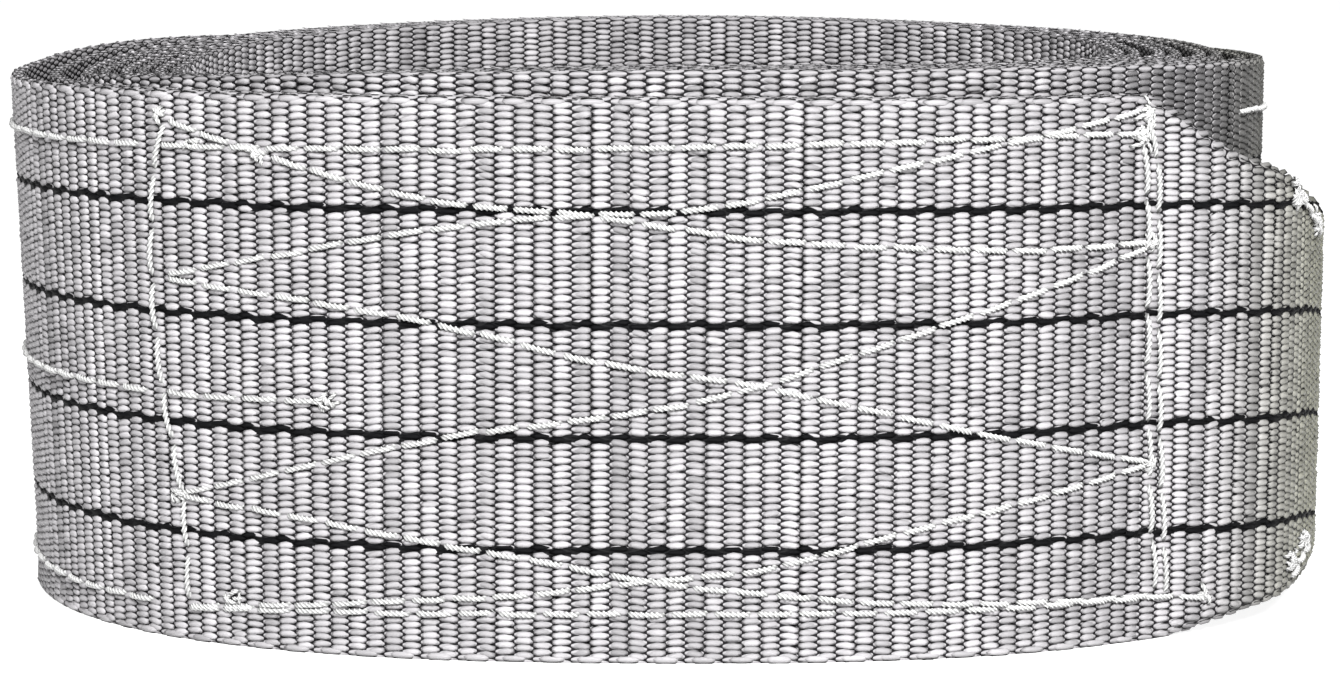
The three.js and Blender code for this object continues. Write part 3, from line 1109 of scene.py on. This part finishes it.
class STRAP_OT_weave(bpy.types.Operator):
    """Lays the floats of the weave on the faces that show"""

    bl_idname = "strap.weave"
    bl_label = "Woven floats"

    def execute(self, context):
        props = context.scene.tow_strap
        band = Band(props.sizes)
        material = float_material(props)
        form = float_template()
        rng = np.random.default_rng(3)
        top = band.width
        turned = (0, FRONT_END, SIDE_END, SECOND_TURN_END, BODY_TURNED)
        throat, front, side, second, last = (band.at_turned(degrees) for degrees in turned)
        eye_start, eye_end = band.spans["inner_eye"]
        hollow = band.spans["inner_end"][0]
        stretches = {
            "weave_front": [(throat, front, 0, top)],
            "weave_side": [(front, side, 0, top)],
            "weave_eye": [(throat - EYE_SHOWN, throat, 0, top)],
            "weave_upper": [
                (side, second, SECOND_TURN_FROM, top),
                (second, last, INNER_TURNS_FROM, top),
                (side, second, 0, FOOT_TO),
            ],
            "weave_hollow": [
                ((eye_start + eye_end) / 2, eye_end, HOLLOW_FROM, top),
                (hollow, hollow + HOLLOW_SHOWN, HOLLOW_FROM, top),
            ],
        }
        for name, parts in stretches.items():
            right_painted_shade = SECOND_TURN_SHADE if name == "weave_upper" else 0.0
            piece = weave_piece(band, name, form, parts, material, rng, right_painted_shade)
            finish_piece(piece, [WEBBING])
        everywhere = [part for parts in stretches.values() for part in parts]
        black = line_material(props)
        piece = weave_piece(band, "black_lines", form, everywhere, black, rng, lines=True)
        finish_piece(piece, [WEBBING])
        bpy.data.objects.remove(form)
        return {"FINISHED"}


class STRAP_OT_selvedges(bpy.types.Operator):
    """Lays the loops of both selvedges"""

    bl_idname = "strap.selvedges"
    bl_label = "Selvedges"

    def execute(self, context):
        props = context.scene.tow_strap
        band = Band(props.sizes)
        material = float_material(props)
        form = float_template()
        rng = np.random.default_rng(5)
        petals = (band.throat, band.at_turned(PETALS_END))
        for name, edge in (("upper_selvedge", band.width), ("lower_selvedge", 0.0)):
            piece = selvedge_piece(band, name, form, petals, edge, material, rng)
            finish_piece(piece, [WEBBING])
        bpy.data.objects.remove(form)
        return {"FINISHED"}


class STRAP_OT_block(bpy.types.Operator):
    """Sews the block at the outer eye"""

    bl_idname = "strap.block"
    bl_label = "Block stitching"

    def execute(self, context):
        props = context.scene.tow_strap
        band = Band(props.sizes)
        form = stitch_template()
        lines = [(line, UPRIGHT_STITCH, UPRIGHT_LIFT) for line in BLOCK_LINES[:UPRIGHT_LINES]]
        lines += [(line, STITCH, STITCH_LIFT) for line in BLOCK_LINES[UPRIGHT_LINES:]]
        material = thread_material(props)
        rng = np.random.default_rng(13)
        stitches(band, "block_stitches", lines, material, ["block_stitching"], rng, form)
        bpy.data.objects.remove(form)
        return {"FINISHED"}


class STRAP_OT_seams(bpy.types.Operator):
    """Sews the three long seams and the tacks of the outer eye"""

    bl_idname = "strap.seams"
    bl_label = "Seams and tacks"

    def execute(self, context):
        props = context.scene.tow_strap
        band = Band(props.sizes)
        form = stitch_template()
        material = thread_material(props)
        rng = np.random.default_rng(17)
        for name, (height, end) in SEAMS.items():
            line = [(SEAM_START, height), ((SEAM_START + end) / 2, height), (end, height)]
            lines = [(line, STITCH, STITCH_LIFT)]
            stitches(band, name + "_stitches", lines, material, [name], rng, form)
        for name, line in TACKS.items():
            lines = [(line, TACK_STITCH, TACK_LIFT)]
            stitches(band, name + "_stitches", lines, material, [name], rng, form)
        bpy.data.objects.remove(form)
        return {"FINISHED"}


class STRAP_OT_loose_ends(bpy.types.Operator):
    """Makes the knots and frayed tufts where the sewing thread ends"""

    bl_idname = "strap.loose_ends"
    bl_label = "Knots and tufts"

    def execute(self, context):
        props = context.scene.tow_strap
        band = Band(props.sizes)
        form = stitch_template(rings=8, turns=1.0)
        rng = np.random.default_rng(29)
        material = thread_material(props)
        groups = {
            "knots": (KNOTS, ["block_stitching"]),
            "tufts": (TUFTS, ["upper_tack", "lower_tack"]),
        }
        for name, (places, nodes) in groups.items():
            piece = clustered(band, name, places, form, material, rng)
            finish_piece(piece, nodes)
        bpy.data.objects.remove(form)
        return {"FINISHED"}


class STRAP_OT_stage(bpy.types.Operator):
    """Makes the floor, the lights and the camera"""

    bl_idname = "strap.stage"
    bl_label = "Stage"

    def execute(self, context):
        props = context.scene.tow_strap
        reach = FLOOR_REACH / MM
        corners = [(-reach, -reach, 0), (reach, -reach, 0), (reach, reach, 0), (-reach, reach, 0)]
        floor = mesh_object("floor", corners, [(0, 1, 2, 3)], floor_material(props))
        world = bpy.data.worlds.new("soft sky")
        world.use_nodes = True
        sky = world.node_tree.nodes["Background"]
        sky.inputs["Color"].default_value = (1, 1, 1, 1)
        sky.inputs["Strength"].default_value = props.stage.sky
        context.scene.world = world
        context.scene.view_settings.view_transform = "Standard"
        add_key_light(context, props.stage.key)
        add_camera(context)
        return {"FINISHED"}


def add_key_light(context, power):
    light = bpy.data.lights.new("key", "AREA")
    light.shape = "DISK"
    light.size = KEY_SIZE
    light.energy = power
    made = bpy.data.objects.new("key", light)
    made.location = KEY_PLACE
    way = Vector(KEY_TARGET) - Vector(KEY_PLACE)
    made.rotation_euler = way.to_track_quat("-Z", "Y").to_euler()
    context.scene.collection.objects.link(made)


def add_camera(context):
    camera = bpy.data.cameras.new("camera")
    camera.sensor_width = CAMERA_SENSOR
    camera.lens = CAMERA_LENS
    camera.clip_start = 0.01
    camera.clip_end = 100
    made = bpy.data.objects.new("camera", camera)
    pitch = Matrix.Rotation(math.radians(90 - CAMERA_DIP), 4, "X")
    roll = Matrix.Rotation(math.radians(CAMERA_ROLL), 4, "Z")
    made.matrix_world = Matrix.Translation(CAMERA_PLACE) @ pitch @ roll
    context.scene.collection.objects.link(made)
    context.scene.camera = made


class STRAP_PT_panel(bpy.types.Panel):
    bl_label = "Tow strap"
    bl_idname = "STRAP_PT_panel"
    bl_space_type = "VIEW_3D"
    bl_region_type = "UI"
    bl_category = "Tow strap"

    def draw(self, context):
        props = context.scene.tow_strap
        for group in (props.sizes, props.colours, props.stage):
            box = self.layout.box()
            for key in group.__annotations__:
                box.prop(group, key)
        for operator in OPERATORS:
            self.layout.operator(operator.bl_idname)


OPERATORS = (
    STRAP_OT_band,
    STRAP_OT_weave,
    STRAP_OT_selvedges,
    STRAP_OT_block,
    STRAP_OT_seams,
    STRAP_OT_loose_ends,
    STRAP_OT_stage,
)
CLASSES = (StrapSizes, StrapColours, StrapStage, StrapProperties, *OPERATORS, STRAP_PT_panel)


def register():
    for made in CLASSES:
        bpy.utils.register_class(made)
    bpy.types.Scene.tow_strap = bpy.props.PointerProperty(type=StrapProperties)


def unregister():
    del bpy.types.Scene.tow_strap
    for made in reversed(CLASSES):
        bpy.utils.unregister_class(made)


def main():
    register()
    for operator in OPERATORS:
        group, name = operator.bl_idname.split(".")
        getattr(getattr(bpy.ops, group), name)()


if __name__ == "__main__":
    main()
